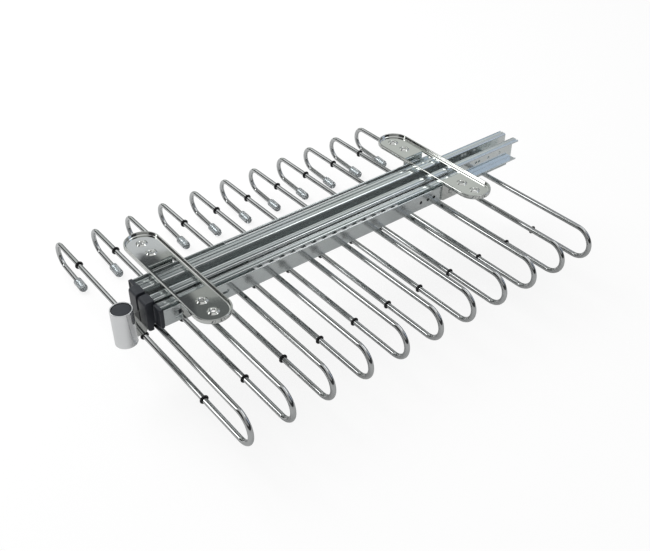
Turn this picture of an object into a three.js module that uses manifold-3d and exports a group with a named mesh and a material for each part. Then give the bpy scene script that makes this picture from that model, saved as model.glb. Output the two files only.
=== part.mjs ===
// Pull-out trouser rack that hangs from the underside of a wardrobe shelf.
// Millimetres, +Z up. Z = 0 is the shelf's underside, X = 0 the middle of the two slides,
// Y = 0 the middle between the two mounting plates. The rack pulls out towards -Y;
// the hooks are on the -X side and the U-bends on the +X side.
import * as THREE from 'three';
import { mergeVertices } from 'three/addons/utils/BufferGeometryUtils.js';
import Module from 'manifold-3d';

const wasm = await Module();
wasm.setup();

// Shared sizes
const seatGap = 0.3; // between two pieces that seat on each other
const cutOverrun = 1; // how far a cutter runs past the face it opens
const railAxisDrop = 18.6; // from the shelf down to the slides' middle height
const sides = { left: -1, right: 1 };

// Mounting plates: pressed trays
const platePitchLess = 50; // how much shorter the plates' pitch is than the slides
const plateLength = 150;
const plateWidth = 34;
const plateSheet = 1.5;
const plateDepth = 4.5;
const plateArcSteps = 28; // round both ends
const windowWidth = 25;
const screwHoleRadius = 2.4;
const screwInnerOffset = 42.6;
const screwOuterOffset = 60;
const dimpleRadius = 4.6;
const dimpleTopRadius = 3.6;
const dimpleRise = 1.2;
const dimpleMouthRadius = 4;
const dimpleSteps = 10;
const tabGap = 0.3;
const tabLift = 0.5; // the tab ends this far above the fixed rail's lower edge
const tabCornerRadius = 3;
const rivetRadius = 1.5;
const rivetHeadRadius = 3.4;
const rivetHeadHeight = 1.5;
const rivetShoulderRadiusShare = 0.72;
const rivetShoulderHeightShare = 0.7;
const rivetTailRadius = 2.1;
const rivetTailHeight = 0.8;
const rivetSteps = 10;

// Slides
const slideLength = 350;
const slideFrontOverhang = 28.5; // ahead of the front plate's middle line
const slideSheet = 1.4;
const carriageRailLength = 444;
const carriageRailGap = 9.6; // between the webs of the two carriage rails
const carriageRailHeight = 24;
const carriageFlange = 8.7;
const middleHeight = 17;
const middleFlange = 7.2;
const middleRunnerDepth = 6.8;
const fixedRunnerDepth = 8.1;
const fixedStripHeight = 16.6;
const lipWidth = 0.7;
const lipDrop = 0.6;
const lipSlope = 0.3;
const grooveDepth = 0.4;
const grooveWidth = 2;
const grooveSlope = 0.4;
const ballRadius = 1.5;
const ballInset = 1.3; // from a runner's open edge to the balls' middle
const cageSheet = 0.5;
const cageGap = 0.4; // between a channel's web and the cage
const runnerGap = 0.9; // between the cage and the runner's open edge
const innerCageFlange = 6.2;
const outerCageFlange = 8.4;
const innerCageLength = 250;
const innerCageFront = 90; // behind the slides' front end
const outerCageLength = 175;
const outerCageFront = 90;
const ballEndDistance = 9; // from a cage's end to its first ball
const innerBallsPerRace = 7;
const outerBallsPerRace = 5;
const railHoleRadius = 1.5;
const railHoleRow = [61, 51.6, 43.4]; // ahead of the fixed rail's rear end
const railHoleSteps = 10;
const railSlotBack = 60; // behind the fixed rail's front end
const railSlotLength = 8;
const railSlotWidth = 4;
const latchWindowLength = 5;
const latchWindowHeight = 4.6;
const latchWindowAhead = 15.3; // ahead of the front plate's middle line
const carriageHoleRadius = 1.6;
const carriageHoleBack = [19.7, 36.8, 50.9, 55.3]; // ahead of the carriage rail's rear end

// Plastic stops
const middleStopThickness = 3.2;
const middleStopHeight = 20;
const middleStopInset = 0.2;
const stopCornerRadius = 2;
const stopCornerSteps = 3;
const carriageStopFront = 9.4; // ahead of the carriage rails
const carriageStopInner = 1.6;
const carriageStopOuter = 14.6;
const carriageStopLip = 6;
const carriageStopNose = 3;

// Carrier plate and handle
const carrierSheet = 1.2;
const carrierWidth = 27;
const carrierFrontOverhang = 3.4; // ahead of the carriage rails
const carrierRearInset = 13.4; // ahead of the carriage rails' rear end
const carrierCornerRadius = 2;
const bracketSheet = 2;
const bracketTopDrop = 21.5;
const bracketBottomDrop = 48.5;
const bracketTongueLength = 32;
const bracketCornerRadius = 5;
const handleRadius = 10;
const handleWall = 1.2;
const handleTopDrop = 13;
const handleLength = 36;
const handleAhead = 21; // from the carrier plate's front edge to the tube's middle
const handleSteps = 24;
const plugThickness = 3;
const plugRecess = 0.6;

// Wire hangers
const hangerCount = 11;
const firstHangerInset = 3; // behind the carrier plate's front edge
const lastHangerInset = 31; // ahead of the carrier plate's rear edge
const wireRadius = 2.5;
const wireSides = 8;
const legSpacing = 32.4;
const upperLegStartX = -12;
const bendCentreX = 137.2;
const bendSteps = 10;
const hookCentreX = -190.5;
const hookRadius = 13.3;
const hookTurn = 176; // degrees
const hookSteps = 8;
const freeLegLength = 42;

// Caps and rubber rings of the hangers
const capSides = 8;
const capWall = 1.4;
const capCover = 15; // how far the cap reaches over the wire
const capEndWall = 1.9;
const capDomeSteps = 2;
const ringThickness = 0.9; // radius of the ring's own section
const ringSteps = 6;
const ringPlaces = [-150, -17, 83.5];

// Places worked out from the sizes
const railAxisZ = -railAxisDrop;
const platePitch = slideLength - platePitchLess;
const fixedFrontY = -platePitch / 2 - slideFrontOverhang;
const fixedRearY = fixedFrontY + slideLength;
const middleFrontY = fixedFrontY - seatGap;
const middleRearY = middleFrontY + slideLength;
const carriageFrontY = middleFrontY - seatGap;
const carriageRearY = carriageFrontY + carriageRailLength;
const carrierFrontY = carriageFrontY - carrierFrontOverhang;
const carrierRearY = carriageRearY - carrierRearInset;
const handleY = carrierFrontY - handleAhead;
const firstHangerY = carrierFrontY + firstHangerInset;
const lastHangerY = carrierRearY - lastHangerInset;
const hangerPitch = (lastHangerY - firstHangerY) / (hangerCount - 1);

const carriageWebX = carriageRailGap / 2;
const carriageFlangeX = carriageWebX + carriageFlange;
const innerCageX = carriageWebX + slideSheet + cageGap;
const middleRunnerX = innerCageX + cageSheet + runnerGap;
const middleWebX = middleRunnerX + middleRunnerDepth;
const middleFlangeX = middleWebX + middleFlange;
const outerCageX = middleWebX + slideSheet + cageGap;
const fixedRunnerX = outerCageX + cageSheet + runnerGap;
const fixedStripX = fixedRunnerX + fixedRunnerDepth;
const fixedOuterX = fixedStripX + slideSheet;

const innerRaceZ = carriageRailHeight / 2 - slideSheet;
const outerRaceZ = middleHeight / 2 - slideSheet;
const innerBallZ = innerRaceZ - seatGap - ballRadius;
const outerBallZ = outerRaceZ - seatGap - ballRadius;
const middleRunnerTop = innerBallZ - ballRadius - seatGap + grooveDepth;
const fixedRunnerTop = outerBallZ - ballRadius - seatGap + grooveDepth;
const innerBallX = middleRunnerX + ballInset;
const outerBallX = fixedRunnerX + ballInset;

const carrierTopZ = railAxisZ - carriageRailHeight / 2;
const carrierBottomZ = carrierTopZ - carrierSheet;
const upperLegZ = carrierBottomZ - seatGap - wireRadius;
const lowerLegZ = upperLegZ - legSpacing;

// Booleans on closed meshes
function toSolid(geometry) {
  const bare = geometry.clone();
  bare.deleteAttribute('normal');
  bare.deleteAttribute('uv');
  const merged = mergeVertices(bare);
  const vertProperties = Float32Array.from(merged.attributes.position.array);
  const triVerts = Uint32Array.from(merged.index.array);
  return new wasm.Manifold(new wasm.Mesh({ numProp: 3, vertProperties, triVerts }));
}

function toGeometry(solid) {
  const mesh = solid.getMesh();
  const geometry = new THREE.BufferGeometry();
  geometry.setAttribute('position', new THREE.BufferAttribute(Float32Array.from(mesh.vertProperties), 3));
  geometry.setIndex(new THREE.BufferAttribute(Uint32Array.from(mesh.triVerts), 1));
  geometry.computeVertexNormals();
  return geometry;
}

function join(...geometries) {
  return toGeometry(geometries.map(toSolid).reduce((whole, next) => whole.add(next)));
}

function cut(geometry, cutters) {
  return toGeometry(cutters.map(toSolid).reduce((whole, next) => whole.subtract(next), toSolid(geometry)));
}

// Outlines and prisms
function outline(points) {
  return new THREE.Shape(points.map(([x, y]) => new THREE.Vector2(x, y)));
}

function obround(length, width) {
  const radius = width / 2;
  const reach = length / 2 - radius;
  const shape = new THREE.Shape();
  shape.absarc(reach, 0, radius, -Math.PI / 2, Math.PI / 2);
  shape.absarc(-reach, 0, radius, Math.PI / 2, (3 * Math.PI) / 2);
  return shape;
}

function roundedRectangle(low, high, radius) {
  const shape = new THREE.Shape();
  shape.absarc(high[0] - radius, low[1] + radius, radius, -Math.PI / 2, 0);
  shape.absarc(high[0] - radius, high[1] - radius, radius, 0, Math.PI / 2);
  shape.absarc(low[0] + radius, high[1] - radius, radius, Math.PI / 2, Math.PI);
  shape.absarc(low[0] + radius, low[1] + radius, radius, Math.PI, (3 * Math.PI) / 2);
  return shape;
}

// Extruded upwards from one height to another.
function prismZ(shape, lowZ, highZ, curveSegments) {
  const geometry = new THREE.ExtrudeGeometry(shape, { depth: highZ - lowZ, bevelEnabled: false, curveSegments });
  return geometry.translate(0, 0, lowZ);
}

// The outline's first direction is X and its second is Z; it runs along Y.
function prismY(shape, frontY, rearY, curveSegments) {
  const geometry = new THREE.ExtrudeGeometry(shape, { depth: rearY - frontY, bevelEnabled: false, curveSegments });
  return geometry.rotateX(Math.PI / 2).translate(0, rearY, 0);
}

// The outline's first direction is Y and its second is Z; it runs along X.
function prismX(shape, lowX, highX, curveSegments) {
  const geometry = new THREE.ExtrudeGeometry(shape, { depth: highX - lowX, bevelEnabled: false, curveSegments });
  const turn = new THREE.Matrix4().makeBasis(
    new THREE.Vector3(0, 1, 0),
    new THREE.Vector3(0, 0, 1),
    new THREE.Vector3(1, 0, 0),
  );
  return geometry.applyMatrix4(turn).translate(lowX, 0, 0);
}

function box(low, high) {
  const size = high.map((value, axis) => value - low[axis]);
  const middle = high.map((value, axis) => (value + low[axis]) / 2);
  return new THREE.BoxGeometry(...size).translate(...middle);
}

// A round bar along X, for holes through upright walls.
function barX(radius, lowX, highX, y, z, steps) {
  const geometry = new THREE.CylinderGeometry(radius, radius, highX - lowX, steps);
  return geometry.rotateZ(Math.PI / 2).translate((lowX + highX) / 2, y, z);
}

// Materials
function chrome() {
  return new THREE.MeshStandardMaterial({ color: 0xd3d6d9, roughness: 0.12, metalness: 1 });
}

function zincSteel() {
  return new THREE.MeshStandardMaterial({ color: 0xbfc5cb, roughness: 0.32, metalness: 1 });
}

function blackPlastic() {
  return new THREE.MeshStandardMaterial({ color: 0x1b1c20, roughness: 0.5, metalness: 0 });
}

function clearGreyPlastic() {
  return new THREE.MeshStandardMaterial({ color: 0xa4a9ad, roughness: 0.3, metalness: 0 });
}

function piece(name, geometry, material) {
  const mesh = new THREE.Mesh(geometry, material);
  mesh.name = name;
  return mesh;
}

// Mounting plate
// Tray with an upturned rim; the dimples are raised, so a countersunk head from below sits flush.
function dimpleRing() {
  const floorTop = plateSheet - plateDepth;
  const points = [
    [0, -plateDepth],
    [dimpleRadius, -plateDepth],
    [dimpleRadius, floorTop],
    [dimpleTopRadius, floorTop + dimpleRise],
    [0, floorTop + dimpleRise],
  ];
  return revolveZ(points, dimpleSteps);
}

function dimpleBore() {
  const mouth = -plateDepth;
  const neck = plateSheet + dimpleRise - plateDepth - plateSheet / 2;
  const top = plateSheet + dimpleRise - plateDepth;
  const points = [
    [0, mouth - cutOverrun],
    [dimpleMouthRadius, mouth - cutOverrun],
    [dimpleMouthRadius, mouth],
    [screwHoleRadius, neck],
    [screwHoleRadius, top + cutOverrun],
    [0, top + cutOverrun],
  ];
  return revolveZ(points, dimpleSteps);
}

// A profile of radius and height, turned about Z.
function revolveZ(points, steps) {
  const profile = points.map(([radius, height]) => new THREE.Vector2(radius, height));
  return new THREE.LatheGeometry(profile, steps).rotateX(Math.PI / 2);
}

function tabOutline() {
  const low = [-windowWidth / 2, railAxisZ - fixedStripHeight / 2 + tabLift];
  const high = [windowWidth / 2, plateSheet - plateDepth];
  const shape = new THREE.Shape();
  shape.moveTo(high[0], high[1]);
  shape.lineTo(low[0], high[1]);
  shape.absarc(low[0] + tabCornerRadius, low[1] + tabCornerRadius, tabCornerRadius, Math.PI, (3 * Math.PI) / 2);
  shape.absarc(high[0] - tabCornerRadius, low[1] + tabCornerRadius, tabCornerRadius, (3 * Math.PI) / 2, 2 * Math.PI);
  return shape;
}

function mountingPlate() {
  const arcSegments = plateArcSteps / 4;
  const floorTop = plateSheet - plateDepth;
  const windowX = fixedOuterX + tabGap;
  const rim = plateSheet * 2;
  const tray = cut(prismZ(obround(plateLength, plateWidth), -plateDepth, 0, arcSegments), [
    prismZ(obround(plateLength - rim, plateWidth - rim), floorTop, cutOverrun, arcSegments),
  ]);
  const window = box(
    [-windowX, -windowWidth / 2, -plateDepth - cutOverrun],
    [windowX, windowWidth / 2, floorTop + cutOverrun],
  );
  const tabs = Object.values(sides).map((side) => {
    const near = side * windowX;
    const far = side * (windowX + plateSheet);
    return prismX(tabOutline(), Math.min(near, far), Math.max(near, far), stopCornerSteps);
  });
  const screwPlaces = [-screwOuterOffset, -screwInnerOffset, screwInnerOffset, screwOuterOffset];
  const dimples = screwPlaces.map((x) => dimpleRing().translate(x, 0, 0));
  const bores = screwPlaces.map((x) => dimpleBore().translate(x, 0, 0));
  const rivetHoleRadius = rivetRadius + seatGap;
  const reach = windowX + plateSheet + cutOverrun;
  const rivetHoles = barX(rivetHoleRadius, -reach, reach, 0, railAxisZ, rivetSteps);
  return cut(join(cut(tray, [window]), ...tabs, ...dimples), [...bores, rivetHoles]);
}

// Rivets: domed head on the tab, tail inside the fixed rail's runner
function rivet(side) {
  const tailX = fixedStripX - slideSheet;
  const headX = fixedOuterX + tabGap + plateSheet;
  const points = [
    [0, tailX - rivetTailHeight],
    [rivetTailRadius, tailX - rivetTailHeight],
    [rivetTailRadius, tailX],
    [rivetRadius, tailX],
    [rivetRadius, headX],
    [rivetHeadRadius, headX],
    [rivetHeadRadius * rivetShoulderRadiusShare, headX + rivetHeadHeight * rivetShoulderHeightShare],
    [0, headX + rivetHeadHeight],
  ];
  const geometry = revolveZ(points, rivetSteps).rotateY((side * Math.PI) / 2);
  return geometry.translate(0, 0, railAxisZ);
}

// Formed slide sections; first value from the middle plane outwards, second from mid height up
function mirrored(upper) {
  return [...upper, ...upper.map(([across, up]) => [across, -up]).reverse()];
}

// Channel that opens outwards, with lips that keep the balls in.
function channelOutline(webX, flangeX, height) {
  const top = height / 2;
  const inside = top - slideSheet;
  return mirrored([
    [webX + slideSheet, inside],
    [flangeX - lipWidth - lipSlope, inside],
    [flangeX - lipWidth, inside - lipDrop],
    [flangeX, inside - lipDrop],
    [flangeX, top],
    [webX, top],
  ].reverse());
}

// Channel that opens towards the middle, with a ball groove rolled into each leg.
function runnerOutline(openX, backX, top) {
  const low = openX + ballInset - grooveWidth / 2;
  const high = low + grooveWidth;
  const inside = top - slideSheet;
  return mirrored([
    [backX, top],
    [high, top],
    [high - grooveSlope, top - grooveDepth],
    [low + grooveSlope, top - grooveDepth],
    [low, top],
    [openX, top],
    [openX, inside],
    [low, inside],
    [low + grooveSlope, inside - grooveDepth],
    [high - grooveSlope, inside - grooveDepth],
    [high, inside],
    [backX - slideSheet, inside],
  ]);
}

function cageOutline(webX, flange, middle) {
  const outside = middle + cageSheet / 2;
  const inside = middle - cageSheet / 2;
  return mirrored([
    [webX, outside],
    [webX + flange, outside],
    [webX + flange, inside],
    [webX + cageSheet, inside],
  ]);
}

function section(points, side) {
  return outline(points.map(([across, up]) => [side * across, up + railAxisZ]));
}

// Fixed rail
function fixedRail(side) {
  const overlap = slideSheet / 2;
  const strip = box(
    [Math.min(side * fixedStripX, side * fixedOuterX), fixedFrontY, railAxisZ - fixedStripHeight / 2],
    [Math.max(side * fixedStripX, side * fixedOuterX), fixedRearY, railAxisZ + fixedStripHeight / 2],
  );
  const runner = runnerOutline(fixedRunnerX, fixedStripX, fixedRunnerTop).map(([across, up]) => [
    across === fixedStripX ? across + overlap : across,
    up,
  ]);
  const whole = join(strip, prismY(section(runner, side), fixedFrontY, fixedRearY));
  const insideX = side * (fixedStripX - slideSheet - cutOverrun);
  const outsideX = side * (fixedOuterX + cutOverrun);
  const lowX = Math.min(insideX, outsideX);
  const highX = Math.max(insideX, outsideX);
  const through = (radius, y) => barX(radius, lowX, highX, y, railAxisZ, railHoleSteps);
  const rivetHoles = [-platePitch / 2, platePitch / 2].map((y) => through(rivetRadius + seatGap, y));
  const row = railHoleRow.map((ahead) => through(railHoleRadius, fixedRearY - ahead));
  const slotShape = obround(railSlotLength, railSlotWidth);
  const slotY = fixedFrontY + railSlotBack;
  const slot = prismX(slotShape, lowX, highX, stopCornerSteps).translate(0, slotY, railAxisZ);
  const latchY = -platePitch / 2 - latchWindowAhead;
  const latch = box(
    [lowX, latchY - latchWindowLength / 2, railAxisZ - latchWindowHeight / 2],
    [highX, latchY + latchWindowLength / 2, railAxisZ + latchWindowHeight / 2],
  );
  return cut(whole, [...rivetHoles, ...row, slot, latch]);
}

// Middle member
function middleChannel(side) {
  return prismY(section(channelOutline(middleWebX, middleFlangeX, middleHeight), side), middleFrontY, middleRearY);
}

function middleRunner(side) {
  return prismY(section(runnerOutline(middleRunnerX, middleWebX, middleRunnerTop), side), middleFrontY, middleRearY);
}

function middleStop(side) {
  const nearX = side * (middleWebX + middleStopInset);
  const farX = side * fixedOuterX;
  const low = [Math.min(nearX, farX), railAxisZ - middleStopHeight / 2];
  const high = [Math.max(nearX, farX), railAxisZ + middleStopHeight / 2];
  const shape = roundedRectangle(low, high, stopCornerRadius);
  return prismY(shape, middleFrontY - middleStopThickness, middleFrontY, stopCornerSteps);
}

// Ball cages: bent strip with a row of balls held in each flange
function ballRow(frontY, length, count) {
  const pitch = (length - ballEndDistance * 2) / (count - 1);
  return Array.from({ length: count }, (_, index) => frontY + ballEndDistance + index * pitch);
}

function ballCage(side, webX, flange, middle, ballX, front, length, count) {
  const frontY = fixedFrontY + front;
  const cage = prismY(section(cageOutline(webX, flange, middle), side), frontY, frontY + length);
  const balls = ballRow(frontY, length, count).flatMap((y) => [middle, -middle].map((up) => {
    return new THREE.OctahedronGeometry(ballRadius, 1).translate(side * ballX, y, railAxisZ + up);
  }));
  return join(cage, ...balls);
}

// Carriage rail
function carriageRail(side) {
  const shape = section(channelOutline(carriageWebX, carriageFlangeX, carriageRailHeight), side);
  const nearX = side * (carriageWebX - cutOverrun);
  const farX = side * (carriageWebX + slideSheet + cutOverrun);
  const holes = carriageHoleBack.map((back) => barX(
    carriageHoleRadius,
    Math.min(nearX, farX),
    Math.max(nearX, farX),
    carriageRearY - back,
    railAxisZ,
    railHoleSteps,
  ));
  return cut(prismY(shape, carriageFrontY, carriageRearY), holes);
}

// Cap on the carriage rail's end, with a lower lip in front of the carrier plate.
function carriageStop(side) {
  const frontY = carriageFrontY - carriageStopFront;
  const topZ = railAxisZ + carriageRailHeight / 2;
  const stepZ = carrierTopZ + seatGap;
  const bottomZ = carrierTopZ - carriageStopLip;
  const shape = outline([
    [carriageFrontY, topZ],
    [frontY + carriageStopNose, topZ],
    [frontY, topZ - carriageStopNose],
    [frontY, bottomZ + carriageStopNose],
    [frontY + carriageStopNose, bottomZ],
    [carrierFrontY - seatGap, bottomZ],
    [carrierFrontY - seatGap, stepZ],
    [carriageFrontY, stepZ],
  ]);
  const ends = [side * carriageStopInner, side * carriageStopOuter];
  return prismX(shape, Math.min(...ends), Math.max(...ends));
}

// Carrier plate
function carrierPlate() {
  const shape = roundedRectangle(
    [-carrierWidth / 2, carrierFrontY],
    [carrierWidth / 2, carrierRearY],
    carrierCornerRadius,
  );
  return prismZ(shape, carrierBottomZ, carrierTopZ, stopCornerSteps);
}

// Handle: upright blade between the rails, with a tube on its front edge
function handleBracket() {
  const frontY = handleY + handleRadius + seatGap;
  const stepY = carrierFrontY - seatGap;
  const rearY = carrierFrontY + bracketTongueLength;
  const radius = bracketCornerRadius;
  const shape = new THREE.Shape();
  shape.moveTo(frontY, -bracketTopDrop);
  shape.lineTo(frontY, -bracketBottomDrop);
  shape.absarc(stepY - radius, -bracketBottomDrop + radius, radius, -Math.PI / 2, 0);
  shape.lineTo(stepY, carrierTopZ);
  shape.lineTo(rearY, carrierTopZ);
  shape.absarc(rearY - radius, -bracketTopDrop - radius, radius, 0, Math.PI / 2);
  return prismX(shape, -bracketSheet / 2, bracketSheet / 2, stopCornerSteps);
}

function handleTube() {
  const top = -handleTopDrop;
  const bottom = top - handleLength;
  const inner = handleRadius - handleWall;
  const points = [
    [inner, bottom],
    [handleRadius, bottom],
    [handleRadius, top],
    [inner, top],
    [inner, bottom],
  ];
  return revolveZ(points, handleSteps).translate(0, handleY, 0);
}

function handlePlug(lowZ) {
  const radius = handleRadius - handleWall - seatGap;
  const points = [
    [0, lowZ],
    [radius, lowZ],
    [radius, lowZ + plugThickness],
    [0, lowZ + plugThickness],
  ];
  return revolveZ(points, handleSteps).translate(0, handleY, 0);
}

// Wire hangers
// A path through fixed stations, one ring of the wire's section at each.
class WirePath extends THREE.Curve {
  constructor(stations) {
    super();
    this.stations = stations;
  }

  getPoint(t, target = new THREE.Vector3()) {
    const last = this.stations.length - 1;
    const index = Math.min(Math.floor(t * last), last - 1);
    return target.lerpVectors(this.stations[index], this.stations[index + 1], t * last - index);
  }

  getUtoTmapping(u) {
    return u;
  }
}

function arcStations(centreX, centreZ, radius, startDegrees, turnDegrees, steps) {
  return Array.from({ length: steps + 1 }, (_, index) => {
    const angle = THREE.MathUtils.degToRad(startDegrees + (turnDegrees * index) / steps);
    return new THREE.Vector3(centreX + radius * Math.cos(angle), 0, centreZ + radius * Math.sin(angle));
  });
}

const freeLegAngle = THREE.MathUtils.degToRad(180 - hookTurn);
const freeLegDirection = new THREE.Vector3(Math.cos(freeLegAngle), 0, -Math.sin(freeLegAngle));

function hangerStations() {
  const bend = arcStations(bendCentreX, (upperLegZ + lowerLegZ) / 2, legSpacing / 2, 90, -180, bendSteps);
  const hook = arcStations(hookCentreX, lowerLegZ - hookRadius, hookRadius, 90, hookTurn, hookSteps);
  const end = hook[hook.length - 1].clone().addScaledVector(freeLegDirection, freeLegLength);
  return [new THREE.Vector3(upperLegStartX, 0, upperLegZ), ...bend, ...hook, end];
}

function wireSection() {
  return outline(Array.from({ length: wireSides }, (_, index) => {
    const angle = (index / wireSides) * 2 * Math.PI;
    return [wireRadius * Math.cos(angle), wireRadius * Math.sin(angle)];
  }));
}

// A rubber ring stretched round the lower leg.
function ring(x) {
  const middle = wireRadius + ringThickness;
  const points = [
    [0, -ringThickness],
    [middle, -ringThickness],
    [middle + ringThickness, 0],
    [middle, ringThickness],
    [0, ringThickness],
  ];
  return revolveZ(points, ringSteps).rotateY(Math.PI / 2).translate(x, 0, lowerLegZ);
}

function hanger() {
  const stations = hangerStations();
  const extrudePath = new WirePath(stations);
  const wire = new THREE.ExtrudeGeometry(wireSection(), { steps: stations.length - 1, extrudePath });
  return join(wire, ...ringPlaces.map(ring));
}

// Caps on the free ends
function hangerCap() {
  const bore = (wireRadius + seatGap) / Math.cos(Math.PI / capSides);
  const outside = bore + capWall;
  const boreEnd = capCover + seatGap;
  const domeStart = boreEnd + capEndWall - outside;
  const dome = Array.from({ length: capDomeSteps }, (_, index) => {
    const angle = ((index + 1) / (capDomeSteps + 1)) * (Math.PI / 2);
    return [outside * Math.cos(angle), domeStart + outside * Math.sin(angle)];
  });
  const points = [
    [0, boreEnd],
    [bore, boreEnd],
    [bore, 0],
    [outside, 0],
    [outside, domeStart],
    ...dome,
    [0, domeStart + outside],
  ];
  const profile = points.map(([radius, along]) => new THREE.Vector2(radius, along));
  return new THREE.LatheGeometry(profile, capSides);
}

function placeCap(mesh, y) {
  const stations = hangerStations();
  const end = stations[stations.length - 1];
  mesh.position.copy(end).addScaledVector(freeLegDirection, -capCover);
  mesh.position.y = y;
  mesh.rotation.set(0, freeLegAngle, -Math.PI / 2);
}

// Assembly
const rack = new THREE.Group();
const mountingFrame = new THREE.Group();
const middleMembers = new THREE.Group();
const cages = new THREE.Group();
const carriage = new THREE.Group();
rack.add(mountingFrame, middleMembers, cages, carriage);

const hangerPlaces = Array.from({ length: hangerCount }, (_, index) => {
  return firstHangerY + index * hangerPitch;
});

for (const [end, y] of [['front', -platePitch / 2], ['rear', platePitch / 2]]) {
  const plate = piece(`plate_${end}`, mountingPlate(), chrome());
  plate.position.y = y;
  mountingFrame.add(plate);
  for (const [name, side] of Object.entries(sides)) {
    const fastener = piece(`plate_rivet_${end}_${name}`, rivet(side), chrome());
    fastener.position.y = y;
    mountingFrame.add(fastener);
  }
}

for (const [name, side] of Object.entries(sides)) {
  mountingFrame.add(piece(`fixed_rail_${name}`, fixedRail(side), zincSteel()));
  middleMembers.add(
    piece(`intermediate_channel_${name}`, middleChannel(side), zincSteel()),
    piece(`intermediate_runner_${name}`, middleRunner(side), zincSteel()),
    piece(`intermediate_stop_${name}`, middleStop(side), blackPlastic()),
  );
  const outer = [outerCageFront, outerCageLength, outerBallsPerRace];
  const inner = [innerCageFront, innerCageLength, innerBallsPerRace];
  const outerCage = ballCage(side, outerCageX, outerCageFlange, outerBallZ, outerBallX, ...outer);
  const innerCage = ballCage(side, innerCageX, innerCageFlange, innerBallZ, innerBallX, ...inner);
  cages.add(
    piece(`ball_cage_outer_${name}`, outerCage, zincSteel()),
    piece(`ball_cage_inner_${name}`, innerCage, zincSteel()),
  );
  carriage.add(
    piece(`carriage_rail_${name}`, carriageRail(side), zincSteel()),
    piece(`carriage_stop_${name}`, carriageStop(side), blackPlastic()),
  );
}

carriage.add(
  piece('carrier_plate', carrierPlate(), zincSteel()),
  piece('handle_bracket', handleBracket(), chrome()),
  piece('handle_tube', handleTube(), chrome()),
  piece('handle_plug_top', handlePlug(-handleTopDrop - plugRecess - plugThickness), blackPlastic()),
  piece('handle_plug_bottom', handlePlug(plugRecess - handleTopDrop - handleLength), blackPlastic()),
);

hangerPlaces.forEach((y, index) => {
  const number = String(index + 1).padStart(2, '0');
  const wire = piece(`hanger_${number}`, hanger(), chrome());
  wire.position.y = y;
  const cap = piece(`cap_${number}`, hangerCap(), clearGreyPlastic());
  placeCap(cap, y);
  carriage.add(wire, cap);
});

export default rack;
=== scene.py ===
import math

import bmesh
import bpy
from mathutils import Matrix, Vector


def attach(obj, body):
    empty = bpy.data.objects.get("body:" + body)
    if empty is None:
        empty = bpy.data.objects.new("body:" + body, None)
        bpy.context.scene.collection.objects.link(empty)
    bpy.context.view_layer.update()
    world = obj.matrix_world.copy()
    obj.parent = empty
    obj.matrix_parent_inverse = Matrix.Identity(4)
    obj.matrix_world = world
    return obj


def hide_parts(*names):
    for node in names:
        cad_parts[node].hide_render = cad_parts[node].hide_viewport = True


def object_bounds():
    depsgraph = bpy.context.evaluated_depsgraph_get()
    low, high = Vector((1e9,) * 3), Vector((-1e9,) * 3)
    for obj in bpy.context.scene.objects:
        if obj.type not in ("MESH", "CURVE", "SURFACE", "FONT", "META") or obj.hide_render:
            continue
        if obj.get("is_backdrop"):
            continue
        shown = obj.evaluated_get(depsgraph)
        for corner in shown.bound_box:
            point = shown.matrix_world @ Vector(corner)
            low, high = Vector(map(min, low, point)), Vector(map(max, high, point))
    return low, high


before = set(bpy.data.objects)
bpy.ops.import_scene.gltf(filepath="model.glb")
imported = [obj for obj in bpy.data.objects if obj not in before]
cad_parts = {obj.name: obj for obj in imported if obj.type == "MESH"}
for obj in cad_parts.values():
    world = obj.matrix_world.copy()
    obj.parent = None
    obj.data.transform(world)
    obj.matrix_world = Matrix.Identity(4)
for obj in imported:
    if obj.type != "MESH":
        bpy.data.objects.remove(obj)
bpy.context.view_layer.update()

MM = 0.001

# Camera
# It stands beyond the handle, on the side of the U-bends, and looks down over the whole rack.
camera_lens = bpy.data.cameras.new("camera")
camera_lens.sensor_width = 36
camera_lens.sensor_fit = "HORIZONTAL"
camera_lens.lens = 48.895
camera_lens.clip_start = 0.01
camera = bpy.data.objects.new("camera", camera_lens)
bpy.context.scene.collection.objects.link(camera)
camera.location = (0.54995, -0.41706, 0.45603)
camera.rotation_mode = "QUATERNION"
camera.rotation_quaternion = Vector((-0.6257, 0.4877, -0.6089)).to_track_quat("-Z", "Y")
bpy.context.scene.camera = camera


# Mounting plates
# Two stadium-shaped trays pressed from steel sheet and chromed. Four raised dimples take
# countersunk screws, and two tabs are bent down from the window to hold the slides.
def clear_selection():
    if bpy.context.mode != "OBJECT":
        bpy.ops.object.mode_set(mode="OBJECT")
    bpy.ops.object.select_all(action="DESELECT")


def take_up(work):
    clear_selection()
    work.select_set(True)
    bpy.context.view_layer.objects.active = work


def start_shaping(name, size=(1, 1, 1)):
    """Names the primitive just added, sizes it, fixes its place in its mesh and opens it."""
    work = bpy.context.object
    work.name = work.data.name = name
    work.scale = size
    bpy.ops.object.transform_apply(location=True, rotation=True, scale=True)
    bpy.ops.object.mode_set(mode="EDIT")
    return work


def pick_all():
    bpy.ops.mesh.select_all(action="SELECT")


def pick_faces(work, test):
    """Selects the faces whose middle and normal pass the test."""
    bpy.ops.mesh.select_mode(type="FACE")
    bpy.ops.mesh.select_all(action="DESELECT")
    shape = bmesh.from_edit_mesh(work.data)
    shape.normal_update()
    for face in shape.faces:
        if test(face.calc_center_median(), face.normal):
            face.select_set(True)
    bmesh.update_edit_mesh(work.data)


def pick_edges(work, test):
    """Selects the edges whose two ends pass the test."""
    bpy.ops.mesh.select_mode(type="EDGE")
    bpy.ops.mesh.select_all(action="DESELECT")
    shape = bmesh.from_edit_mesh(work.data)
    for edge in shape.edges:
        if test(edge.verts[0].co, edge.verts[1].co):
            edge.select_set(True)
    bmesh.update_edit_mesh(work.data)


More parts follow.
